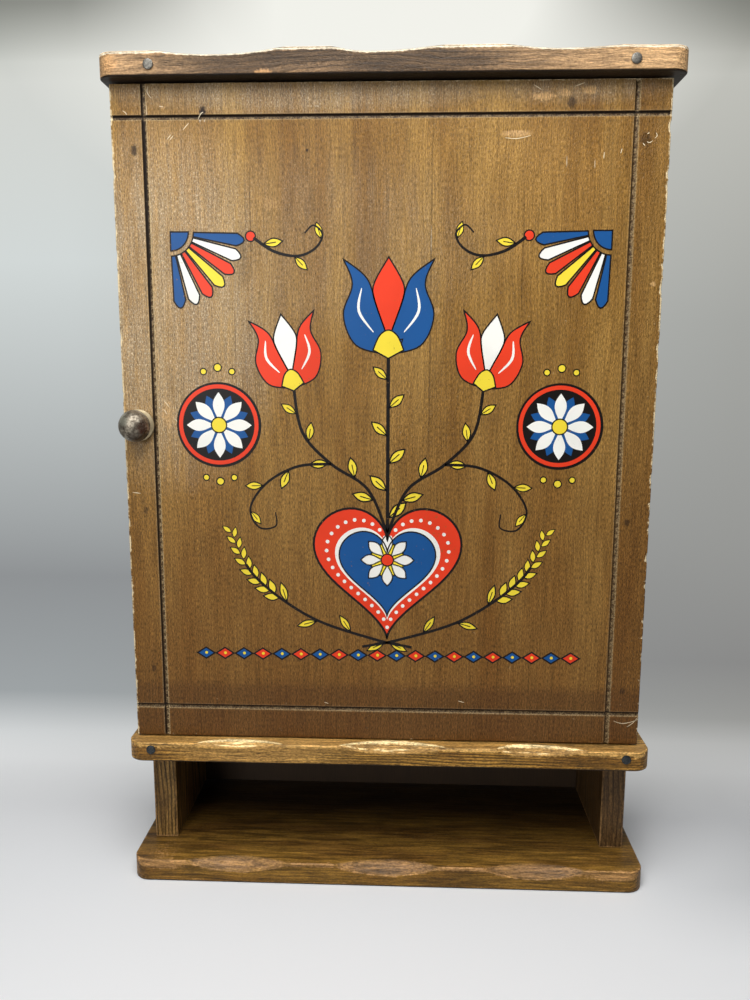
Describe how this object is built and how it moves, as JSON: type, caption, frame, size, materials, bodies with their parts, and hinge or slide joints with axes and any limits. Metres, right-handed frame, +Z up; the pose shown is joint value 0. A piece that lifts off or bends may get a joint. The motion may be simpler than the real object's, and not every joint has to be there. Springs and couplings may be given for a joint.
{
  "type": "wall cabinet",
  "caption": "Wooden wall cabinet: a side-hung grooved door with a round knob closes an inner bay with shelves, between hewn-edged boards, over an open shelf.",
  "frame": {"origin": "centre of the bottom board's underside: midway across its width, and midway between its front and rear edges", "axes": "+Z up, -Y out of the door's face towards a person who stands before it, +Y into the wall, +X to that person's right"},
  "size_m": [0.384, 0.1395, 0.589],
  "materials": {
    "stained_pine": "satin",
    "stained_plywood": "satin",
    "backing_plywood": "matte",
    "antique_bronze": "satin",
    "plated_brass": "satin",
    "grey_zinc": "satin",
    "bright_steel": "satin",
    "dark_ferrite": "matte"
  },
  "bodies": {
    "case": {"top_board": "stained_pine", "middle_board": "stained_pine", "bottom_board": "stained_pine", "upper_side_left": "stained_pine", "upper_side_right": "stained_pine", "lower_side_left": "stained_pine", "lower_side_right": "stained_pine", "upper_back": "backing_plywood", "lower_back": "backing_plywood", "lower_shelf": "stained_pine", "upper_shelf": "stained_pine", "lower_hinge_case_leaf": "plated_brass", "lower_hinge_pin": "plated_brass", "lower_hinge_case_screw_low": "plated_brass", "lower_hinge_case_screw_high": "plated_brass", "upper_hinge_case_leaf": "plated_brass", "upper_hinge_pin": "plated_brass", "upper_hinge_case_screw_low": "plated_brass", "upper_hinge_case_screw_high": "plated_brass", "catch_housing": "bright_steel", "catch_magnet": "dark_ferrite", "catch_screw_low": "bright_steel", "catch_screw_high": "bright_steel", "hanger_plate_left": "bright_steel", "hanger_plate_right": "bright_steel", "hanger_screw_left_low": "bright_steel", "hanger_screw_left_high": "bright_steel", "hanger_screw_right_low": "bright_steel", "hanger_screw_right_high": "bright_steel", "top_nail_left": "grey_zinc", "top_nail_right": "grey_zinc", "middle_nail_left": "grey_zinc", "middle_nail_right": "grey_zinc", "top_case_nail_left_front": "bright_steel", "top_case_nail_left_rear": "bright_steel", "top_case_nail_right_front": "bright_steel", "top_case_nail_right_rear": "bright_steel", "bottom_case_nail_left_front": "bright_steel", "bottom_case_nail_left_rear": "bright_steel", "bottom_case_nail_right_front": "bright_steel", "bottom_case_nail_right_rear": "bright_steel"},
    "door": {"door_panel": "stained_plywood", "door_stile_left": "stained_pine", "door_stile_right": "stained_pine", "door_rail_top": "stained_pine", "door_rail_bottom": "stained_pine", "door_knob": "antique_bronze", "knob_screw": "bright_steel", "lower_hinge_door_leaf": "plated_brass", "lower_hinge_door_screw_low": "plated_brass", "lower_hinge_door_screw_high": "plated_brass", "upper_hinge_door_leaf": "plated_brass", "upper_hinge_door_screw_low": "plated_brass", "upper_hinge_door_screw_high": "plated_brass", "catch_strike": "bright_steel", "catch_strike_screw": "bright_steel"}
  },
  "joints": [
    {"name": "door_hinge", "type": "hinge", "parent": "case", "child": "door", "pos_m": [0.1866, -0.03425, 0.34175], "axis": [0, 0, 1], "range_deg": [0, 180]}
  ]
}
